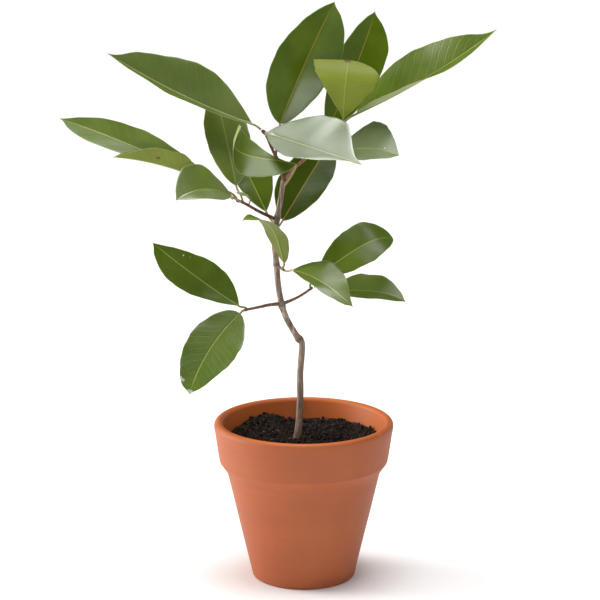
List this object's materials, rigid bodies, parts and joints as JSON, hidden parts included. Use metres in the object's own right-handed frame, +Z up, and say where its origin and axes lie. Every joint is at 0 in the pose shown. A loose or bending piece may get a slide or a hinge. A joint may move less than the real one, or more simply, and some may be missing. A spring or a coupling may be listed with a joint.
{
  "type": "potted rubber plant",
  "caption": "Small potted rubber plant: a slim woody stem with side shoots and glossy leathery leaves, standing in a tapered terracotta pot filled with dark soil.",
  "frame": {"origin": "middle of the plant's bounding box at floor level; the pot's axis is at x = +22 mm, y = -7.5 mm", "axes": "+Z up, +X to the plant's right as seen from the front, +Y from the front to the back"},
  "size_m": [0.31, 0.145, 0.415],
  "materials": {
    "terracotta": "matte",
    "potting_soil": "matte",
    "bark": "matte",
    "young_bark": "matte",
    "leaf_green": "satin",
    "leaf_underside_green": "satin",
    "young_leaf_green": "satin"
  },
  "bodies": {
    "root": {"pot": "terracotta", "soil": "potting_soil", "main_stem": "bark", "leader_shoot": "young_bark", "back_shoot": "young_bark", "upper_right_shoot": "young_bark", "left_shoot": "young_bark", "middle_shoot": "young_bark", "lower_left_shoot": "young_bark", "lower_right_shoot": "young_bark", "crown_leaf_tall": "leaf_green", "crown_leaf_right": "leaf_green", "crown_leaf_folded": "leaf_underside_green", "right_leaf_long": "leaf_green", "right_leaf_short": "leaf_green", "front_leaf_broad": "leaf_green", "front_leaf_cupped": "leaf_green", "left_leaf_upper": "leaf_green", "left_leaf_long": "leaf_green", "left_leaf_tilted": "leaf_underside_green", "left_leaf_drooping": "leaf_green", "back_leaf_left": "leaf_green", "back_leaf_middle": "leaf_green", "back_leaf_right": "leaf_green", "stem_leaf_narrow": "leaf_underside_green", "lower_leaf_front": "leaf_green", "lower_leaf_right_upper": "leaf_green", "lower_leaf_right_lower": "leaf_green", "lower_leaf_left_upper": "leaf_green", "lower_leaf_left_drooping": "leaf_green", "young_leaf": "young_leaf_green"}
  },
  "joints": []
}
